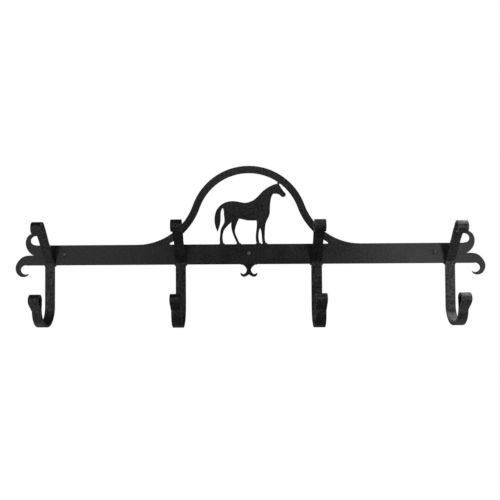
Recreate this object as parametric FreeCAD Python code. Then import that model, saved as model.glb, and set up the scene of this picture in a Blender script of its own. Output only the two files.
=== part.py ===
"""Wrought-iron wall rack: a flat bar with scrolled ends, an arch, a standing horse and four double hooks.

Millimetres. X runs along the bar, +Y points into the wall and +Z up. The origin is the middle of the
bar's back face, which lies on the wall, so only the screws' shanks reach past Y = 0.
Each function makes one kind of piece, and the last lines write each piece to a file of its own.
"""
import FreeCAD, Part
import math
import os

Vector = FreeCAD.Vector
ACROSS = Vector(1, 0, 0)
OUT_OF_WALL = Vector(0, -1, 0)

# Driving dimensions
PLATE = 4.8  # thickness of the bar, the arch, the finial and the straps
BAR_HEIGHT = 44.45  # flat bar of 1 3/4 inch
END_NOTCH_X = 475.4  # where each end of the bar splits into two tines
SCREW_SPACING = 406.4  # wall studs at 16 inches
SCREW_UP = 2.2  # height of the screws above the bar's middle

# Arch
ARCH_OUTER_RADIUS = 130.5
ARCH_BAND = 16.0
ARCH_CENTRE_ABOVE_BAR = 41.3
ARCH_TOE_HEIGHT = 0.7  # height at which the feathered toe of each foot ends
TOE_WELD_LENGTH = 14.0

# Horse and finial
HORSE_PLATE = 3.2
HOOVES = [(-62.5, -54.8), (-25.0, -19.0), (17.8, 25.3), (31.4, 39.2)]
EAR_TIP = (66.8, 134.4)
FINIAL_ROOT = 31.2

# Double hooks, drawn from the side: distance out from the wall, and height from the bar's middle.
# They are drawn out and bent by hand, so the strap's width and the heights differ from hook to hook.
HOOKS = {
    "outer_left": {"x": -437.8, "width": 20.6, "roll_up": 57.0, "j_up": -112.0},
    "inner_left": {"x": -149.3, "width": 22.0, "roll_up": 60.4, "j_up": -113.8},
    "inner_right": {"x": 148.0, "width": 23.2, "roll_up": 58.9, "j_up": -114.2},
    "outer_right": {"x": 437.8, "width": 20.6, "roll_up": 54.4, "j_up": -111.0},
}
WAIST = 1.6  # by how much the strap narrows between its elbow or J and each rolled end
ELBOW_UP = -16.0
ELBOW_RADIUS = 9.0
TOP_ROLL_OUT = 80.0
TOP_ROLL_RADIUS = 10.7
WAIST_UP = 30.0  # height of the narrowest place of the sloping arm
SHANK_LEAN = 1.5  # degrees by which the shank below the elbow leans away from the wall
J_RADIUS = 38.4
TIP_TOP_UP = -79.4
TIP_ROLL_RADIUS = 9.7
TOP_ROLL_END = -65.0  # angle at which the wide bend of the top roll ends
TIGHT_SHARE = 0.62  # radius of the top roll's tight end, as a share of its roll's radius
TIGHT_TURN = 70.0
TIP_ROLL_END = -45.0  # angle at which the bend of the tip roll ends
TIP_RETURN = 19.0  # length of the straight end that closes the tip roll against the arm

# Screws
NECK_RADIUS = 2.6  # where the screw passes through the bar
SHANK_RADIUS = 2.4
THREAD_CORE_RADIUS = 1.7
THREAD_PITCH = 1.9
THREAD_TURNS = 10
THREAD_TURN = [  # the radius at each share of a turn: the core, then the crest
    (THREAD_CORE_RADIUS, 0.15),
    (THREAD_CORE_RADIUS, 0.55),
    (SHANK_RADIUS, 0.9),
    (SHANK_RADIUS, 1.0),
]
SMOOTH_SHANK = 14.0  # length of plain shank behind the bar
POINT_LENGTH = 5.0
SCREW_HOLE_RADIUS = 3.0
HEAD_RADIUS = 5.2
HEAD_HEIGHT = 3.4
DRIVE_LENGTH = 5.0
DRIVE_WIDTH = 1.1
DRIVE_DEPTH = 1.8

# Weld beads
HOOK_BEAD_RADIUS = 3.2
HEEL_BEAD_RADIUS = 5.2
HOOF_BEAD_RADIUS = 2.4
EAR_BEAD_RADIUS = 3.3
FINIAL_BEAD_RADIUS = 1.2
FINIAL_BEAD_LENGTH = 3.0

BAR_TOP = BAR_HEIGHT / 2
STRAP_MIDDLE = 1.5 * PLATE  # how far out the middle of a strap lies where it touches the bar


def at(x, z, y=0.0):
    """A point given by its place along the bar, its height and its depth."""
    return Vector(x, y, z)


def stretch(points):
    """An edge through points given as (x, z): straight for two points, smooth for more."""
    places = [at(x, z) for x, z in points]
    if len(places) == 2:
        return Part.LineSegment(*places).toShape()
    spline = Part.BSplineCurve()
    spline.interpolate(places)
    return spline.toShape()


def plate(edges, thickness=PLATE, back=0.0):
    """A closed outline as a plate whose back face lies at the depth given."""
    face = Part.Face(Part.Wire(Part.__sortEdges__(edges)))
    solid = face.extrude(OUT_OF_WALL * thickness)
    solid.translate(Vector(0, back, 0))
    return solid


def mirrored(shape):
    """The same shape on the other side of the rack's middle."""
    return shape.mirror(Vector(0, 0, 0), ACROSS)


def both_halves(half):
    """A half and its mirror image as one solid."""
    return half.fuse(mirrored(half)).removeSplitter()


def half_bar():
    """The right half of the bar: a straight run, then an upper and a lower tine split at mid-height.

    The tines' outlines are given as distances along the bar from the notch between them, and heights.
    """
    eye_start = (-12.0, BAR_TOP)
    upper_tip = (-15.5, 34.5)
    notch = (0.0, 0.0)
    lower_tip = (12.3, -40.2)
    lower_start = (16.0, -BAR_TOP)
    tines = [
        [eye_start, (-2, 22.9), (5.4, 26.7), (7.2, 33), (3.4, 40), (-5, 42.8), (-12, 40.2), upper_tip],
        [upper_tip, (-12.5, 44), (-5, 48.8), (5.6, 47.4), (13.8, 40.3), (17.2, 30), (15.8, 18), (9.8, 7.6),
         notch],
        [notch, (11, 0), (23, -2.8), (34, -12.4), (40.2, -26), (36.4, -40.5), (25, -47.6), (16.5, -45.6),
         lower_tip],
        [lower_tip, (17, -41.9), (23, -41.4), (28.6, -36.8), (29.8, -30), (26, -24.4), lower_start],
    ]
    edges = [stretch([(END_NOTCH_X + along, up) for along, up in tine]) for tine in tines]
    run_end_top = (END_NOTCH_X + eye_start[0], BAR_TOP)
    run_end_bottom = (END_NOTCH_X + lower_start[0], -BAR_TOP)
    edges.append(stretch([(0, BAR_TOP), run_end_top]))
    edges.append(stretch([run_end_bottom, (0, -BAR_TOP)]))
    edges.append(stretch([(0, -BAR_TOP), (0, BAR_TOP)]))
    return plate(edges)


def main_bar():
    """The whole bar with its three screw holes."""
    bar = both_halves(half_bar())
    for x in (-SCREW_SPACING, 0.0, SCREW_SPACING):
        bar = bar.cut(Part.makeCylinder(SCREW_HOLE_RADIUS, 3 * PLATE, at(x, SCREW_UP, PLATE), OUT_OF_WALL))
    return bar


class ArchShape:
    """A round crown between two reverse curves of equal outer radius, which end level with the bar's top."""

    outer = ARCH_OUTER_RADIUS
    inner = ARCH_OUTER_RADIUS - ARCH_BAND
    foot_radius = ARCH_OUTER_RADIUS + ARCH_BAND
    crown_z = BAR_TOP + ARCH_CENTRE_ABOVE_BAR
    foot_z = BAR_TOP + ARCH_OUTER_RADIUS
    foot_x = math.sqrt((2 * outer) ** 2 - (foot_z - crown_z) ** 2)
    turn = math.atan2(foot_z - crown_z, foot_x)

    @classmethod
    def crown(cls, radius, angle):
        """A point on the crown at this radius and angle."""
        return at(radius * math.cos(angle), cls.crown_z + radius * math.sin(angle))

    @classmethod
    def foot(cls, radius, height):
        """A point on the right-hand reverse curve at this radius and height."""
        return at(cls.foot_x - math.sqrt(radius ** 2 - (cls.foot_z - height) ** 2), height)

    @classmethod
    def sweep(cls, radius, height):
        """The right-hand reverse curve at this radius, from the crown's end down to the height given."""
        start = cls.crown(2 * cls.outer - radius, cls.turn)
        return Part.Arc(start, cls.foot(radius, (start.z + height) / 2), cls.foot(radius, height)).toShape()


def arch_band():
    """The right half of the arch and its mirror image."""
    shape = ArchShape
    toe = shape.foot(shape.outer, BAR_TOP + ARCH_TOE_HEIGHT)
    heel = shape.foot(shape.foot_radius, BAR_TOP)
    below_toe = at(toe.x, BAR_TOP)
    top = [shape.crown(radius, math.pi / 2) for radius in (shape.inner, shape.outer)]
    edges = [Part.LineSegment(*top).toShape()]
    for radius in (shape.inner, shape.outer):
        middle = (math.pi / 2 + shape.turn) / 2
        ends = [shape.crown(radius, angle) for angle in (math.pi / 2, middle, shape.turn)]
        edges.append(Part.Arc(*ends).toShape())
    edges.append(shape.sweep(shape.outer, toe.z))
    edges.append(shape.sweep(shape.foot_radius, BAR_TOP))
    edges.append(Part.LineSegment(toe, below_toe).toShape())
    edges.append(Part.LineSegment(below_toe, heel).toShape())
    return both_halves(plate(edges))


def horse():
    """The silhouette, walked round from the ear by way of the back. Heights are above the bar's top."""
    poll = (64.4, 132.5)
    tail_tip = (-68.3, 27.6)
    dock = (-57.3, 79.6)
    hind_fork = (-38.0, 48.0)
    flank = (-21.2, 55.8)
    elbow = (17.3, 51.6)
    fore_fork = (25.4, 35.0)
    throat = (54.2, 109.8)
    nostril = (81.2, 111.0)
    forehead = (67.3, 131.0)
    (far_hind, near_hind, far_fore, near_fore) = [((back, 0), (front, 0)) for back, front in HOOVES]
    outline = [
        [poll, (55, 130), (46.5, 126.2), (36, 119.5), (27, 111.5), (17.5, 101.5), (9, 95.5), (0, 92),
         (-9, 90.8), (-18, 92.3), (-30, 94.4), (-43, 94), (-53, 91), (-64, 83.5), (-70.8, 74),
         (-74.2, 63), (-75, 53), (-73.8, 42), tail_tip],
        [tail_tip, (-65, 36.5), (-62.4, 47), (-61.5, 58), (-61.2, 68), (-59.4, 76), dock],
        [dock, (-54.9, 75), (-54.3, 66), (-53.3, 57), (-53.4, 49.5), (-56.4, 42), (-60.4, 35), (-62.2, 27),
         (-63.1, 17), (-63.8, 9), far_hind[0]],
        far_hind,
        [far_hind[1], (-57, 8.5), (-57.4, 17), (-56, 26), (-51.6, 34.5), (-45.3, 41.5), hind_fork],
        [hind_fork, (-38.2, 37), (-36.2, 27), (-32.1, 16), (-27.5, 5.5), near_hind[0]],
        near_hind,
        [near_hind[1], (-23.2, 9), (-27.3, 18), (-30.1, 28), (-28.4, 38), (-25, 47.5), flank],
        [flank, (-14, 54.6), (-5, 52.4), (5, 51.6), elbow],
        [elbow, (17.8, 40), (16.6, 29), (15.6, 19), (15.7, 9), far_fore[0]],
        far_fore,
        [far_fore[1], (22.3, 9), (21.7, 19), (22.8, 28), fore_fork],
        [fore_fork, (27.4, 28), (28.6, 19), (29.2, 9), near_fore[0]],
        near_fore,
        [near_fore[1], (35.8, 8.5), (35.4, 20), (36, 34), (38, 46), (42.6, 56.5), (46.2, 65), (47, 73),
         (47.3, 83), (48.6, 94), (50.8, 103.5), throat],
        [throat, (61.5, 110), (68.5, 107.6), (73.6, 103.2), (79, 103.4), (82.1, 107), nostril],
        [nostril, (77.6, 115), (73.6, 120.6), (69.8, 126.6), forehead],
        [forehead, EAR_TIP],
        [EAR_TIP, poll],
    ]
    raised = [stretch([(x, z + BAR_TOP) for x, z in run]) for run in outline]
    return plate(raised, HORSE_PLATE, (HORSE_PLATE - PLATE) / 2)


def drop_finial():
    """A short flared neck under the bar that splits into two small scrolls. Heights are below the bar."""
    root = (FINIAL_ROOT / 2, 0)
    neck = (4.7, -11.7)
    tip = (18.6, -18.2)
    notch = (0, -22.3)
    outline = [
        [(0, 0), root],
        [root, (11.6, -2.4), (8.5, -5.0), (6.1, -8.0), neck],
        [neck, (5.4, -15.2), (8.0, -19.4), (12.0, -21.6), (15.4, -20.4), tip],
        [tip, (18.4, -22.2), (16.0, -25.6), (12.0, -27.4), (7.6, -26.8), (3.6, -24.8), notch],
        [notch, (0, 0)],
    ]
    return both_halves(plate([stretch([(x, z - BAR_TOP) for x, z in run]) for run in outline]))


def side_point(centre, radius, angle):
    """A point of the hook's side profile, at an angle in degrees about a centre given as (out, up)."""
    out = centre[0] + radius * math.cos(math.radians(angle))
    up = centre[1] + radius * math.sin(math.radians(angle))
    return Vector(0, -out, up)


def strap_bend(centre, radius, start, end, width):
    """A bend of the strap about an axis along X, between two angles in degrees."""
    edges = []
    for r in (radius - PLATE / 2, radius + PLATE / 2):
        arc_points = [side_point(centre, r, angle) for angle in (start, (start + end) / 2, end)]
        edges.append(Part.Arc(*arc_points).toShape())
    for angle in (start, end):
        ends = [side_point(centre, r, angle) for r in (radius - PLATE / 2, radius + PLATE / 2)]
        edges.append(Part.LineSegment(*ends).toShape())
    return across(edges, width)


def strap_run(start, end, width):
    """A straight run of the strap between two (out, up) points of its middle line."""
    begin = Vector(0, -start[0], start[1])
    finish = Vector(0, -end[0], end[1])
    half = (finish - begin).cross(ACROSS).normalize() * (PLATE / 2)
    corners = [begin + half, finish + half, finish - half, begin - half, begin + half]
    return across(Part.makePolygon(corners).Edges, width)


def across(edges, width):
    """A closed side profile made solid across the strap's width."""
    solid = Part.Face(Part.Wire(Part.__sortEdges__(edges))).extrude(ACROSS * width)
    solid.translate(ACROSS * (-width / 2))
    return solid


def width_envelope(widths):
    """A block, endless in depth, as wide at each height as the (height, width) pairs say."""
    right = [at(width / 2, height) for height, width in widths]
    left = [at(-width / 2, height) for height, width in reversed(widths)]
    return plate(Part.makePolygon(right + left + right[:1]).Edges, 2 * (TOP_ROLL_OUT + J_RADIUS))


def top_roll(centre, start, width):
    """The rolled upper end of the strap: a wide bend, then a tighter one that closes it."""
    tight = TOP_ROLL_RADIUS * TIGHT_SHARE
    turn = side_point(centre, TOP_ROLL_RADIUS - tight, TOP_ROLL_END)
    tight_centre = (-turn.y, turn.z)
    wide_part = strap_bend(centre, TOP_ROLL_RADIUS, start, TOP_ROLL_END, width)
    return wide_part.fuse(strap_bend(tight_centre, tight, TOP_ROLL_END - TIGHT_TURN, TOP_ROLL_END, width))


def tip_roll(centre, width):
    """The rolled tip of the J: a wide bend, then a straight end that runs back down towards the arm."""
    leaving = side_point(centre, TIP_ROLL_RADIUS, TIP_ROLL_END)
    heading = math.radians(TIP_ROLL_END - 90)
    start = (-leaving.y, leaving.z)
    end = (start[0] + TIP_RETURN * math.cos(heading), start[1] + TIP_RETURN * math.sin(heading))
    return strap_bend(centre, TIP_ROLL_RADIUS, TIP_ROLL_END, 180, width).fuse(strap_run(start, end, width))


def upper_part(roll_up, width):
    """The top roll, the sloping arm and the elbow. Also returns the elbow's centre as (out, up)."""
    reach = TOP_ROLL_OUT - STRAP_MIDDLE
    rise = roll_up - ELBOW_UP
    angle = math.degrees(math.atan2(rise, reach) + math.asin(TOP_ROLL_RADIUS / math.hypot(reach, rise)))
    roll_start = side_point((TOP_ROLL_OUT, roll_up), TOP_ROLL_RADIUS, 90 + angle)
    tangent = ELBOW_RADIUS * math.tan(math.radians(90 - angle) / 2)
    arm_start = side_point((STRAP_MIDDLE, ELBOW_UP), tangent, angle)
    elbow_centre = (STRAP_MIDDLE + ELBOW_RADIUS, ELBOW_UP - tangent)
    stock = width + WAIST
    pieces = [
        strap_run((-arm_start.y, arm_start.z), (-roll_start.y, roll_start.z), stock),
        top_roll((TOP_ROLL_OUT, roll_up), 90 + angle, stock),
    ]
    solid = strap_bend(elbow_centre, ELBOW_RADIUS, 90 + angle, 180 + SHANK_LEAN, stock).multiFuse(pieces)
    widths = [(2 * ELBOW_UP, width), (ELBOW_UP, width), (WAIST_UP, width - WAIST),
              (roll_up - TOP_ROLL_RADIUS, width), (2 * roll_up, width)]
    return solid.common(width_envelope(widths)), elbow_centre


def front_part(j_centre, width):
    """The front quarter of the J, the arm that rises from it and the tip roll."""
    middle = j_centre[0] + J_RADIUS
    roll_up = TIP_TOP_UP - TIP_ROLL_RADIUS - PLATE / 2
    solid = strap_bend(j_centre, J_RADIUS, 270, 360, width).multiFuse([
        strap_run((middle, j_centre[1]), (middle, roll_up), width),
        tip_roll((middle + TIP_ROLL_RADIUS, roll_up), width),
    ])
    widths = [(2 * j_centre[1], width), (j_centre[1] - J_RADIUS, width), (j_centre[1], width - WAIST),
              (roll_up, width), (0, width)]
    return solid.common(width_envelope(widths))


def hook(x, width, roll_up, j_up):
    """One double hook: top roll, sloping arm, elbow on the bar's lower edge, shank, J and tip roll."""
    upper, elbow_centre = upper_part(roll_up, width)
    lean = math.radians(SHANK_LEAN)
    drop = elbow_centre[1] - j_up
    j_out = elbow_centre[0] + (J_RADIUS - ELBOW_RADIUS + drop * math.sin(lean)) / math.cos(lean)
    shank_ends = [side_point(elbow_centre, ELBOW_RADIUS, 180 + SHANK_LEAN),
                  side_point((j_out, j_up), J_RADIUS, 180 + SHANK_LEAN)]
    strap = upper.multiFuse([
        strap_run(*[(-end.y, end.z) for end in shank_ends], width),
        strap_bend((j_out, j_up), J_RADIUS, 180 + SHANK_LEAN, 270, width),
        front_part((j_out, j_up), width),
    ]).removeSplitter()
    strap.translate(ACROSS * x)
    return strap


def screw_outline():
    """The screw's half section below its dome: (radius, depth) corners from the head's rim to the point."""
    outline = [(HEAD_RADIUS, -PLATE), (NECK_RADIUS, -PLATE), (NECK_RADIUS, 0), (SHANK_RADIUS, 0),
               (SHANK_RADIUS, SMOOTH_SHANK)]
    for turn in range(THREAD_TURNS):
        depth = SMOOTH_SHANK + turn * THREAD_PITCH
        for radius, share in THREAD_TURN:
            outline.append((radius, depth + share * THREAD_PITCH))
    outline.append((0, SMOOTH_SHANK + THREAD_TURNS * THREAD_PITCH + POINT_LENGTH))
    return [Vector(radius, depth, 0) for radius, depth in outline]


def screw(x):
    """A round-head screw through the bar, with a cross drive and rings for its thread."""
    crown = Vector(0, -PLATE - HEAD_HEIGHT, 0)
    dome = (HEAD_RADIUS ** 2 + HEAD_HEIGHT ** 2) / (2 * HEAD_HEIGHT)
    half_angle = math.asin(HEAD_RADIUS / dome) / 2
    shoulder = Vector(dome * math.sin(half_angle), crown.y + dome * (1 - math.cos(half_angle)), 0)
    corners = screw_outline()
    edges = Part.makePolygon(corners + [crown]).Edges
    edges.append(Part.Arc(crown, shoulder, corners[0]).toShape())
    solid = Part.Face(Part.Wire(Part.__sortEdges__(edges))).revolve(Vector(0, 0, 0), Vector(0, 1, 0), 360)
    for length, width in ((DRIVE_LENGTH, DRIVE_WIDTH), (DRIVE_WIDTH, DRIVE_LENGTH)):
        slot = Part.makeBox(length, 2 * DRIVE_DEPTH, width)
        slot.translate(Vector(-length / 2, crown.y - DRIVE_DEPTH, -width / 2))
        solid = solid.cut(slot)
    solid.translate(at(x, SCREW_UP))
    return solid


def bead(start, end, radius, neighbours):
    """A weld bead with round ends between two points, less the pieces that it joins."""
    run = end - start
    solid = Part.makeCylinder(radius, run.Length, start, run)
    solid = solid.multiFuse([Part.makeSphere(radius, place) for place in (start, end)])
    for piece in neighbours:
        solid = solid.cut(piece)
    return solid.Solids[0]


def hook_weld(x, width, strap, bar):
    """A bead in the corner behind the strap and under the bar, showing a little at both sides."""
    half = width / 2
    start = at(x - half, -BAR_TOP, -PLATE)
    end = at(x + half, -BAR_TOP, -PLATE)
    return bead(start, end, HOOK_BEAD_RADIUS, [strap, bar])


def arch_heel_weld(side, arch, bar):
    """A fillet as deep as the plate, in the sharp corner between the inner edge of a foot and the bar."""
    heel = ArchShape.foot(ArchShape.foot_radius, BAR_TOP)
    fillet = Part.makeCylinder(HEEL_BEAD_RADIUS, PLATE, at(side * heel.x, BAR_TOP), OUT_OF_WALL)
    return fillet.cut(arch).cut(bar).Solids[0]


def arch_toe_weld(side):
    """Weld dressed to a wedge that carries the foot's outer curve down into the bar's top."""
    toe = ArchShape.foot(ArchShape.outer, BAR_TOP + ARCH_TOE_HEIGHT)
    corners = [toe, at(toe.x, BAR_TOP), at(toe.x + TOE_WELD_LENGTH, BAR_TOP), toe]
    wedge = plate(Part.makePolygon(corners).Edges)
    return wedge if side > 0 else mirrored(wedge)


def hoof_weld(hoof, silhouette, bar):
    """A bead all round the foot of one leg."""
    back, front = hoof
    depth = -PLATE / 2
    return bead(at(back, BAR_TOP, depth), at(front, BAR_TOP, depth), HOOF_BEAD_RADIUS, [silhouette, bar])


def ear_weld(silhouette, arch):
    """A round bead between the ear's tip and the arch, ground flush at the back."""
    x, height = EAR_TIP
    middle = at(x, height + BAR_TOP, -PLATE / 2)
    in_front = Part.makeCylinder(2 * EAR_BEAD_RADIUS, 2 * EAR_BEAD_RADIUS, at(x, middle.z), OUT_OF_WALL)
    ball = Part.makeSphere(EAR_BEAD_RADIUS, middle).common(in_front)
    return ball.cut(silhouette).cut(arch).Solids[0]


def finial_weld(side, finial, bar):
    """A bead at one end of the finial's root."""
    reach = FINIAL_ROOT / 2
    half = FINIAL_BEAD_LENGTH / 2
    ends = [at(side * (reach + along), -BAR_TOP, -PLATE / 2) for along in (-half, half)]
    return bead(*ends, FINIAL_BEAD_RADIUS, [finial, bar])


def all_pieces():
    """Every piece by its name."""
    bar = main_bar()
    arch = arch_band()
    silhouette = horse()
    finial = drop_finial()
    pieces = {"main_bar": bar, "arch_band": arch, "horse": silhouette, "drop_finial": finial}
    for place, sizes in HOOKS.items():
        strap = hook(**sizes)
        pieces[f"hook_{place}"] = strap
        pieces[f"weld_hook_{place}"] = hook_weld(sizes["x"], sizes["width"], strap, bar)
    for side, word in ((-1, "left"), (1, "right")):
        pieces[f"weld_arch_heel_{word}"] = arch_heel_weld(side, arch, bar)
        pieces[f"weld_arch_toe_{word}"] = arch_toe_weld(side)
        pieces[f"weld_finial_{word}"] = finial_weld(side, finial, bar)
    for number, hoof in enumerate(HOOVES, 1):
        pieces[f"weld_hoof_{number}"] = hoof_weld(hoof, silhouette, bar)
    pieces["weld_ear"] = ear_weld(silhouette, arch)
    for place, word in ((-SCREW_SPACING, "left"), (0.0, "middle"), (SCREW_SPACING, "right")):
        pieces[f"screw_{word}"] = screw(place)
    return pieces


os.makedirs("parts", exist_ok=True)
for name, shape in all_pieces().items():
    box = shape.BoundBox
    print(f"{name:24s} valid {shape.isValid()} solids {len(shape.Solids)} volume {shape.Volume:9.1f} mm3",
          f"X {box.XMin:.1f} {box.XMax:.1f}  Y {box.YMin:.1f} {box.YMax:.1f}",
          f"Z {box.ZMin:.1f} {box.ZMax:.1f}")
    shape.exportStep(f"parts/{name}.step")
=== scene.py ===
"""Looks, lights and camera of the wrought-iron wall rack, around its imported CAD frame. Metres."""

import math

import bpy
from mathutils import Matrix, Vector

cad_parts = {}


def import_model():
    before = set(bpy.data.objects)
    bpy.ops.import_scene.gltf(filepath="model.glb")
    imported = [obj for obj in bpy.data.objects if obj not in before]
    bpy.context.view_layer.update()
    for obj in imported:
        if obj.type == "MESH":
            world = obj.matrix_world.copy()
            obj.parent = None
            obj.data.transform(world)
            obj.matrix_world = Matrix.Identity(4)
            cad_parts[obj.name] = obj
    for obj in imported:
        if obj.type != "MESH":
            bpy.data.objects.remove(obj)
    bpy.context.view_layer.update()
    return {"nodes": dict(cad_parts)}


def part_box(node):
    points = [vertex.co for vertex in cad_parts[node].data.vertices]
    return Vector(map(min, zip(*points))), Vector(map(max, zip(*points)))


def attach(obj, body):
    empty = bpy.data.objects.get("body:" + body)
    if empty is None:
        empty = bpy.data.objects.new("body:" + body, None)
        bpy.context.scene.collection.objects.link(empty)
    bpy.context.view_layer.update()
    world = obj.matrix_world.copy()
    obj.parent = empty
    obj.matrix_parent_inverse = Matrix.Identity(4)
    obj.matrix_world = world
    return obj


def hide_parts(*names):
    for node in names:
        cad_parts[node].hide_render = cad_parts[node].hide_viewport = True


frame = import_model()

# Rounding of the cut and forged edges, and the angle from which an edge counts as sharp
PLATE_EDGE = 0.0005
STRAP_EDGE = 0.0011
WEDGE_EDGE = 0.0004
SAME_POINT = 1e-6
SAME_PLANE = math.radians(0.5)
SHARP = math.radians(28)

# Weld beads. The first three are radii. A ripple's pitch and bend are shares of the bead's radius.
HOOK_BEAD = 0.0032
HOOF_BEAD = 0.0024
EAR_BEAD = 0.0033
EAR_NUDGE = 0.0002
RIPPLE_PITCH = 0.5
RIPPLE_BEND = 0.5
RIPPLE_DEPTH = 0.13
STEPS_PER_RIPPLE = 8
BEAD_SIDES = 32

# Screws. BAR_FRONT and THREAD_START are places along Y. THREAD_WIDTH is half a ridge's width as a share
# of the pitch, and DRIVE_TAPER is how much narrower the cross is at its bottom.
SCREW_SIDES = 48
BAR_FRONT = -0.0048
HEAD_HEIGHT = 0.0034
DOME_ROWS = 10
NECK_RADIUS = 0.0026
SHANK_RADIUS = 0.0024
CORE_RADIUS = 0.0017
THREAD_START = 0.014
THREAD_PITCH = 0.0019
THREAD_WIDTH = 0.28
POINT_LENGTH = 0.005
ROWS_PER_TURN = 8
DRIVE_LENGTH = 0.005
DRIVE_WIDTH = 0.0011
DRIVE_DEPTH = 0.0018
DRIVE_TAPER = 0.6

# Black coat: its features' sizes in metres, the part of their noise that counts, and how far they
# spread its tone and roughness
CLOUD_SIZE = 0.03
CLOUD_RANGE = (0.3, 0.7)
CLOUD_TONE = 0.3
CLOUD_ROUGHNESS = 0.05
PATCH_SIZE = 0.0045
PATCH_RANGE = (0.35, 0.65)
PATCH_ROUGHNESS = 0.04
MARK_SIZE = 0.011
PIT_SHARE = 0.3
GRAIN_SIZE = 0.0009
GRAIN_STRENGTH = 0.6
WARM_TINT = (("Red", 1.0), ("Green", 0.97), ("Blue", 0.95))

# Worn edges. The range is of the cosine between the true normal and the rounded one.
WEAR_RADIUS = 0.0012
WEAR_TONE = 0.012
WEAR_RANGE = (0.97, 0.8)
CHIP_SIZE = 0.004
CHIP_RANGE = (0.5, 0.62)

# Painted highlight on a screw's crown, by the normal's part along Y
PAINTED_HIGHLIGHT_RANGE = (-0.93, -0.65)

# Camera
EYE = Vector((0.0115, -1.260, 0.0092))
YAW = math.radians(-0.96)
ROLL = math.radians(0.377)
LENS = 41.18
SENSOR = 36
SHIFT_X = 0.01114

# Studio
FLOOR_Z = -1.3
FLOOR_HALF = 1.4
FLOOR_TONE = 0.85
FLOOR_GLOW = 0.4
CARD_TONE = 0.002
CARD_GLOW = 0.02
MATT_ROUGHNESS = 0.9
WHITE = (1, 1, 1, 1)


def add_mesh(name, corners, faces):
    """A new object from corners and faces."""
    mesh = bpy.data.meshes.new(name)
    mesh.from_pydata(corners, [], faces)
    mesh.update()
    piece = bpy.data.objects.new(name, mesh)
    bpy.context.scene.collection.objects.link(piece)
    return piece


def round_edges(piece, width, segments):
    """Merges the flat facets of a CAD node and rounds its sharp edges."""
    weld = piece.modifiers.new("weld", "WELD")
    weld.merge_threshold = SAME_POINT
    flats = piece.modifiers.new("flats", "DECIMATE")
    flats.decimate_type = "DISSOLVE"
    flats.angle_limit = SAME_PLANE
    bevel = piece.modifiers.new("edges", "BEVEL")
    bevel.width = width
    bevel.segments = segments
    bevel.limit_method = "ANGLE"
    bevel.angle_limit = SHARP
    piece.modifiers.new("even", "WEIGHTED_NORMAL").weight = 100
    piece.data.shade_smooth()


def coated(node, coat, edge, segments=3):
    """Gives a CAD node its coat and rounds its edges."""
    node.data.materials.append(coat)
    round_edges(node, edge, segments)


def turned(name, rows, first, last, sides):
    """A closed round mesh from rows of points, with one point at each end."""
    corners = [first] + [corner for row in rows for corner in row] + [last]
    faces = []
    for side in range(sides):
        after = (side + 1) % sides
        faces.append((0, 1 + after, 1 + side))
        for row in range(len(rows) - 1):
            low = 1 + row * sides
            high = low + sides
            faces.append((low + side, low + after, high + after, high + side))
        low = 1 + (len(rows) - 1) * sides
        faces.append((low + side, low + after, len(corners) - 1))
    return add_mesh(name, corners, faces)


def rippled_bead(node, coat, start, end, radius, outward):
    """A round-ended weld bead whose ripples are crescents. It stays in front of the wall."""
    along = (end - start).normalized()
    top = (outward - along * outward.dot(along)).normalized()
    side = along.cross(top)
    length = (end - start).length
    whole = length + 2 * radius
    pitch = radius * RIPPLE_PITCH
    count = int(whole / pitch * STEPS_PER_RIPPLE)
    rows = []
    for step in range(1, count):
        place = -radius + whole * step / count
        beyond = max(-place, place - length, 0.0)
        reach = math.sqrt(radius ** 2 - beyond ** 2)
        row = []
        for number in range(BEAD_SIDES):
            angle = 2 * math.pi * number / BEAD_SIDES
            wave = ((place + radius * RIPPLE_BEND * (1 - math.cos(angle))) / pitch) % 1.0
            out = reach * (1 - RIPPLE_DEPTH * wave)
            corner = start + along * place + (top * math.cos(angle) + side * math.sin(angle)) * out
            corner.y = min(corner.y, 0.0)
            row.append(corner)
        rows.append(row)
    bead = turned(node + "_ripples", rows, start - along * radius, end + along * radius, BEAD_SIDES)
    bead.data.materials.append(coat)
    bead.data.shade_smooth()
    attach(bead, "root")
    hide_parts(node)


def hook_bead(node, coat):
    """The bead behind a strap, under the bar."""
    low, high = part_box(node)
    depth = low.y + HOOK_BEAD
    height = high.z - HOOK_BEAD
    start = Vector((low.x + HOOK_BEAD, depth, height))
    end = Vector((high.x - HOOK_BEAD, depth, height))
    rippled_bead(node, coat, start, end, HOOK_BEAD, outward=Vector((0, 1, -1)))


def hoof_bead(node, coat):
    """The bead round the foot of one of the horse's legs."""
    low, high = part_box(node)
    depth = (low.y + high.y) / 2
    start = Vector((low.x + HOOF_BEAD, depth, low.z))
    end = Vector((high.x - HOOF_BEAD, depth, low.z))
    rippled_bead(node, coat, start, end, HOOF_BEAD, outward=Vector((0, -1, 1)))


def ear_bead(node, coat):
    """The single drop of weld metal between the horse's ear and the arch."""
    low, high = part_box(node)
    middle = low + Vector((EAR_BEAD, EAR_BEAD, EAR_BEAD))
    nudge = Vector((EAR_NUDGE, 0, 0))
    rippled_bead(node, coat, middle - nudge, middle + nudge, EAR_BEAD, outward=Vector((0, -1, 0)))


def ring(axis, depth, radius_at):
    """One row of a screw's corners, where the radius is a function of the angle."""
    row = []
    for number in range(SCREW_SIDES):
        angle = -2 * math.pi * number / SCREW_SIDES
        radius = radius_at(angle)
        row.append(axis + Vector((radius * math.cos(angle), depth, radius * math.sin(angle))))
    return row


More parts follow.
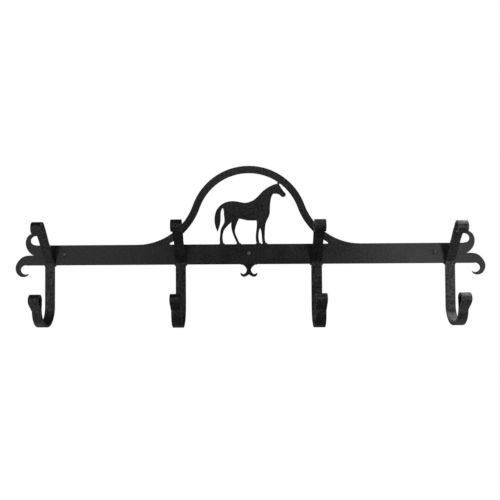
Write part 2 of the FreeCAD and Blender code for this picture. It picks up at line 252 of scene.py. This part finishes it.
def thread_radius(depth, angle, tip_depth):
    """The radius of the helical thread, which grows out of the shank and fades towards the point."""
    turn = (depth - THREAD_START) / THREAD_PITCH - angle / (2 * math.pi)
    ridge = max(0.0, 1 - abs(turn % 1.0 - 0.5) / THREAD_WIDTH)
    grown = min(1.0, (depth - THREAD_START) / THREAD_PITCH)
    left = min(1.0, (tip_depth - depth) / POINT_LENGTH)
    core = SHANK_RADIUS - (SHANK_RADIUS - CORE_RADIUS) * grown
    return left * (core + (SHANK_RADIUS - core) * ridge)


def cross_cutter(axis, crown):
    """A tapered cross that cuts the drive recess."""
    corners = []
    for depth, scale in ((crown - DRIVE_DEPTH, 1.0), (crown + DRIVE_DEPTH, DRIVE_TAPER)):
        arm = scale * DRIVE_LENGTH / 2
        half = scale * DRIVE_WIDTH / 2
        for quarter in range(4):
            turn = Matrix.Rotation(quarter * math.pi / 2, 3, "Y")
            for across, up in ((-half, arm), (half, arm), (half, half)):
                corners.append(turn @ Vector((across, 0, up)) + axis + Vector((0, depth, 0)))
    around = len(corners) // 2
    faces = [tuple(range(around - 1, -1, -1)), tuple(range(around, 2 * around))]
    for number in range(around):
        after = (number + 1) % around
        faces.append((number, after, around + after, around + number))
    return add_mesh("cutter", corners, faces)


def cut(piece, cutter):
    """Takes the cutter's shape out of a piece for good, and removes the cutter."""
    drive = piece.modifiers.new("drive", "BOOLEAN")
    drive.operation = "DIFFERENCE"
    drive.solver = "EXACT"
    drive.object = cutter
    bpy.context.view_layer.update()
    shown = piece.evaluated_get(bpy.context.evaluated_depsgraph_get())
    mesh = bpy.data.meshes.new_from_object(shown)
    piece.modifiers.clear()
    piece.data = mesh
    bpy.data.objects.remove(cutter)


def head_profile(head_radius, crown):
    """Radius and depth of a screw's plain rows: the domed head, the neck and the shank up to the thread."""
    dome = (head_radius ** 2 + HEAD_HEIGHT ** 2) / (2 * HEAD_HEIGHT)
    rim = math.asin(head_radius / dome)
    profile = []
    for step in range(1, DOME_ROWS + 1):
        angle = rim * step / DOME_ROWS
        profile.append((dome * math.sin(angle), crown + dome * (1 - math.cos(angle))))
    profile += [(NECK_RADIUS, BAR_FRONT), (NECK_RADIUS, 0.0)]
    profile += [(SHANK_RADIUS, 0.0), (SHANK_RADIUS, THREAD_START)]
    return profile


def threaded_screw(node, coat):
    """A round-head wood screw with a cross drive and a helical thread."""
    low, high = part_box(node)
    axis = Vector(((low.x + high.x) / 2, 0, (low.z + high.z) / 2))
    crown = BAR_FRONT - HEAD_HEIGHT
    rows = []
    for radius, depth in head_profile((high.x - low.x) / 2, crown):
        rows.append(ring(axis, depth, lambda angle: radius))
    count = int((high.y - THREAD_START) / THREAD_PITCH * ROWS_PER_TURN)
    for step in range(1, count):
        depth = THREAD_START + (high.y - THREAD_START) * step / count
        rows.append(ring(axis, depth, lambda angle: thread_radius(depth, angle, high.y)))
    first = axis + Vector((0, crown, 0))
    last = axis + Vector((0, high.y, 0))
    screw = turned(node + "_threaded", rows, first, last, SCREW_SIDES)
    cut(screw, cross_cutter(axis, crown))
    screw.data.materials.clear()
    screw.data.materials.append(coat)
    screw.data.shade_smooth()
    screw.data.set_sharp_from_angle(angle=SHARP)
    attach(screw, "root")
    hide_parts(node)


def math_node(tree, operation, *inputs):
    """A math node fed with numbers or sockets. Returns its result."""
    node = tree.nodes.new("ShaderNodeMath")
    node.operation = operation
    for socket, value in zip(node.inputs, inputs):
        if isinstance(value, (int, float)):
            socket.default_value = value
        else:
            tree.links.new(value, socket)
    return node.outputs["Value"]


def noise(tree, size, detail=3):
    """Noise whose features are about the size given, in metres, from 0 to 1."""
    place = tree.nodes.new("ShaderNodeTexCoord")
    texture = tree.nodes.new("ShaderNodeTexNoise")
    texture.inputs["Scale"].default_value = 1 / size
    texture.inputs["Detail"].default_value = detail
    tree.links.new(place.outputs["Object"], texture.inputs["Vector"])
    return texture.outputs["Fac"]


def between(tree, value, low, high, to_low, to_high):
    """Carries a value from one range to another, and clamps it."""
    node = tree.nodes.new("ShaderNodeMapRange")
    for name, number in (("From Min", low), ("From Max", high), ("To Min", to_low), ("To Max", to_high)):
        node.inputs[name].default_value = number
    tree.links.new(value, node.inputs["Value"])
    return node.outputs["Result"]


def edge_mask(tree):
    """1 along worn edges, 0 on flats: how far the rounded normal turns away from the true one."""
    rounded = tree.nodes.new("ShaderNodeBevel")
    rounded.samples = 4
    rounded.inputs["Radius"].default_value = WEAR_RADIUS
    true = tree.nodes.new("ShaderNodeNewGeometry")
    dot = tree.nodes.new("ShaderNodeVectorMath")
    dot.operation = "DOT_PRODUCT"
    tree.links.new(rounded.outputs["Normal"], dot.inputs[0])
    tree.links.new(true.outputs["Normal"], dot.inputs[1])
    edge = between(tree, dot.outputs["Value"], *WEAR_RANGE, 0.0, 1.0)
    chipped = between(tree, noise(tree, CHIP_SIZE), *CHIP_RANGE, 0.0, 1.0)
    return math_node(tree, "MULTIPLY", edge, chipped)


def bump(tree, height, distance, strength=1.0, under=None):
    """A bump from a height, over another bump if one is given. Returns its normal."""
    node = tree.nodes.new("ShaderNodeBump")
    node.inputs["Strength"].default_value = strength
    node.inputs["Distance"].default_value = distance
    tree.links.new(height, node.inputs["Height"])
    if under:
        tree.links.new(under, node.inputs["Normal"])
    return node.outputs["Normal"]


def painted_highlight_mask(tree):
    """Mask of the painted highlight on a screw's crown: 1 where a surface faces straight out from the wall, 0
    where it turns away, as at a dome's rim.
    """
    place = tree.nodes.new("ShaderNodeTexCoord")
    parts = tree.nodes.new("ShaderNodeSeparateXYZ")
    tree.links.new(place.outputs["Normal"], parts.inputs["Vector"])
    return between(tree, parts.outputs["Y"], *PAINTED_HIGHLIGHT_RANGE, 1.0, 0.0)


def iron(name, base, rough, gloss, mottle, hammer, grain, painted_highlight=0.0):
    """Black coat over iron: cloudy tone and gloss, hammer marks, fine grain and worn edges.

    mottle is how much the level of gloss varies from patch to patch; hammer and grain are the bumps'
    heights in metres; the last argument sets the painted highlight on a screw's crown: how much lighter it is
    where the dome faces out from the wall.
    """
    material = bpy.data.materials.new(name)
    material.use_nodes = True
    tree = material.node_tree
    shader = tree.nodes["Principled BSDF"]
    clouds = noise(tree, CLOUD_SIZE, detail=6)
    patches = noise(tree, PATCH_SIZE, detail=4)

    tone = between(tree, clouds, *CLOUD_RANGE, base * (1 - CLOUD_TONE), base * (1 + CLOUD_TONE))
    worn = math_node(tree, "MULTIPLY", edge_mask(tree), WEAR_TONE)
    tone = math_node(tree, "ADD", tone, worn)
    # Painted highlight: the screw's crown is made lighter where it faces out from the wall
    if painted_highlight:
        painted_crown_highlight = math_node(tree, "MULTIPLY", painted_highlight_mask(tree), painted_highlight)
        tone = math_node(tree, "ADD", tone, painted_crown_highlight)
    colour = tree.nodes.new("ShaderNodeCombineColor")
    for channel, share in WARM_TINT:
        tree.links.new(math_node(tree, "MULTIPLY", tone, share), colour.inputs[channel])
    tree.links.new(colour.outputs["Color"], shader.inputs["Base Color"])

    broad = between(tree, clouds, *CLOUD_RANGE, rough - CLOUD_ROUGHNESS, rough + CLOUD_ROUGHNESS)
    local = between(tree, patches, *PATCH_RANGE, -PATCH_ROUGHNESS, PATCH_ROUGHNESS)
    tree.links.new(math_node(tree, "ADD", broad, local), shader.inputs["Roughness"])
    shine = between(tree, patches, *PATCH_RANGE, gloss - mottle, gloss + mottle)
    tree.links.new(shine, shader.inputs["Specular IOR Level"])

    marks = bump(tree, noise(tree, MARK_SIZE, detail=1), hammer)
    pits = bump(tree, patches, hammer * PIT_SHARE, under=marks)
    fine = bump(tree, noise(tree, GRAIN_SIZE, detail=2), grain, GRAIN_STRENGTH, under=pits)
    tree.links.new(fine, shader.inputs["Normal"])
    return material


def plain_material(name, tone, glow):
    """An even matt grey that glows a little."""
    material = bpy.data.materials.new(name)
    material.use_nodes = True
    shader = material.node_tree.nodes["Principled BSDF"]
    shader.inputs["Base Color"].default_value = (tone, tone, tone, 1)
    shader.inputs["Roughness"].default_value = MATT_ROUGHNESS
    shader.inputs["Emission Color"].default_value = WHITE
    shader.inputs["Emission Strength"].default_value = glow
    return material


def dark_card(name, corners):
    """A black card that keeps one part of the surroundings dark. Only reflections see it."""
    card = add_mesh(name, corners, [(0, 1, 2, 3)])
    card.data.materials.append(plain_material(name, CARD_TONE, CARD_GLOW))
    card.visible_camera = False
    card.visible_shadow = False
    card.visible_diffuse = False


def upright_card(name, depth, left, right, low, high):
    """A dark card that faces the rack."""
    corners = [(left, depth, low), (right, depth, low), (right, depth, high), (left, depth, high)]
    dark_card(name, corners)


def level_card(name, height, left, right, front, back):
    """A dark card above or below the rack."""
    corners = [(left, front, height), (right, front, height), (right, back, height), (left, back, height)]
    dark_card(name, corners)


def floor():
    """A plain pale floor far below the rack."""
    half = FLOOR_HALF
    corners = [(-half, -half, FLOOR_Z), (half, -half, FLOOR_Z), (half, half, FLOOR_Z), (-half, half, FLOOR_Z)]
    ground = add_mesh("floor", corners, [(0, 1, 2, 3)])
    ground.data.materials.append(plain_material("floor", FLOOR_TONE, FLOOR_GLOW))
    ground.visible_glossy = False


def soft_box(name, place, target, width, height, power):
    """A rectangular area light aimed at a point."""
    light = bpy.data.lights.new(name, "AREA")
    light.shape = "RECTANGLE"
    light.size = width
    light.size_y = height
    light.energy = power
    lamp = bpy.data.objects.new(name, light)
    lamp.location = place
    lamp.rotation_euler = (Vector(target) - Vector(place)).to_track_quat("-Z", "Y").to_euler()
    lamp.visible_camera = False
    bpy.context.scene.collection.objects.link(lamp)
    return lamp


def world(strength):
    """A white backdrop, whose light on the rack is softer than it looks."""
    scene = bpy.context.scene
    scene.world = bpy.data.worlds.new("studio")
    scene.world.use_nodes = True
    tree = scene.world.node_tree
    glow = tree.nodes["Background"]
    glow.inputs["Color"].default_value = WHITE
    glow.inputs["Strength"].default_value = strength
    backdrop = tree.nodes.new("ShaderNodeBackground")
    backdrop.inputs["Color"].default_value = WHITE
    seen = tree.nodes.new("ShaderNodeLightPath")
    mix = tree.nodes.new("ShaderNodeMixShader")
    tree.links.new(seen.outputs["Is Camera Ray"], mix.inputs["Fac"])
    tree.links.new(glow.outputs["Background"], mix.inputs[1])
    tree.links.new(backdrop.outputs["Background"], mix.inputs[2])
    tree.links.new(mix.outputs["Shader"], tree.nodes["World Output"].inputs["Surface"])


def camera():
    """The camera at the viewing place of the reference."""
    data = bpy.data.cameras.new("camera")
    data.lens = LENS
    data.sensor_width = SENSOR
    data.shift_x = SHIFT_X
    viewer = bpy.data.objects.new("camera", data)
    forward = Vector((math.sin(YAW), math.cos(YAW), 0))
    up = Vector((0, 0, 1))
    right = forward.cross(up)
    tilt = Matrix.Rotation(ROLL, 3, forward)
    right, up = tilt @ right, tilt @ up
    axes = Matrix((right, up, -forward)).transposed()
    viewer.matrix_world = Matrix.Translation(EYE) @ axes.to_4x4()
    bpy.context.scene.collection.objects.link(viewer)
    bpy.context.scene.camera = viewer


bar_coat = iron("black_bar_coat", base=0.009, rough=0.32, gloss=0.4, mottle=0.1,
                hammer=0.0001, grain=0.00002)
cut_coat = iron("black_cut_coat", base=0.006, rough=0.3, gloss=0.45, mottle=0.2,
                hammer=0.0002, grain=0.00003)
strap_coat = iron("black_strap_coat", base=0.007, rough=0.33, gloss=0.42, mottle=0.26,
                  hammer=0.0005, grain=0.00004)
weld_coat = iron("black_weld_coat", base=0.009, rough=0.32, gloss=0.45, mottle=0.2,
                 hammer=0.0002, grain=0.00004)
# The screw coat carries a painted highlight on the crown of each head
screw_coat = iron("grey_screw_coat", base=0.006, rough=0.35, gloss=0.25, mottle=0.05,
                  hammer=0.00002, grain=0.00001, painted_highlight=0.12)

for name, node in frame["nodes"].items():
    node.data.materials.clear()
    if name.startswith("hook"):
        coated(node, strap_coat, STRAP_EDGE)
    elif name.startswith("screw"):
        threaded_screw(name, screw_coat)
    elif name.startswith("weld_hook"):
        hook_bead(name, weld_coat)
    elif name.startswith("weld_hoof"):
        hoof_bead(name, weld_coat)
    elif name == "weld_ear":
        ear_bead(name, weld_coat)
    elif name.startswith("weld"):
        coated(node, weld_coat, WEDGE_EDGE, segments=2)
    elif name == "main_bar":
        coated(node, bar_coat, PLATE_EDGE)
    else:
        coated(node, cut_coat, PLATE_EDGE)

floor()
upright_card("dark_front", depth=-1.5, left=-0.45, right=0.56, low=-0.3, high=0.3)
upright_card("dark_front_low", depth=-1.9, left=-0.2, right=0.5, low=-1.2, high=-0.1)
upright_card("dark_behind", depth=0.4, left=-0.8, right=0.8, low=-0.6, high=0.6)
level_card("dark_below", height=-1.0, left=-0.5, right=0.5, front=-1.9, back=0.6)
level_card("dark_above", height=1.6, left=-2.0, right=0.1, front=-1.5, back=1.0)
world(strength=0.42)
soft_box("back", place=(0, 2.4, 0.5), target=(0, 0, 0), width=2.5, height=1.5, power=60)
soft_box("key", place=(1.55, 0.1, 1.75), target=(1.55, 0.1, 0), width=1.3, height=3.0, power=48)
soft_box("fill_right", place=(0.95, -1.9, 0.1), target=(0.95, 0, 0.1), width=0.45, height=1.8, power=5.2)
soft_box("fill_left", place=(-0.95, -1.9, 0), target=(-0.95, 0, 0), width=0.8, height=1.6, power=1.9)
soft_box("fill_top", place=(-0.15, -1.9, 0.6), target=(-0.15, 0, 0.6), width=0.9, height=0.47, power=0.7)
for side in (-1, 1):
    place = (side * 1.6, -1.4, -0.3)
    rim = soft_box(f"rim_{side}", place, target=(0, 0, 0), width=0.9, height=2.0, power=3)
    rim.visible_diffuse = False
camera()

bpy.context.scene.view_settings.view_transform = "Standard"
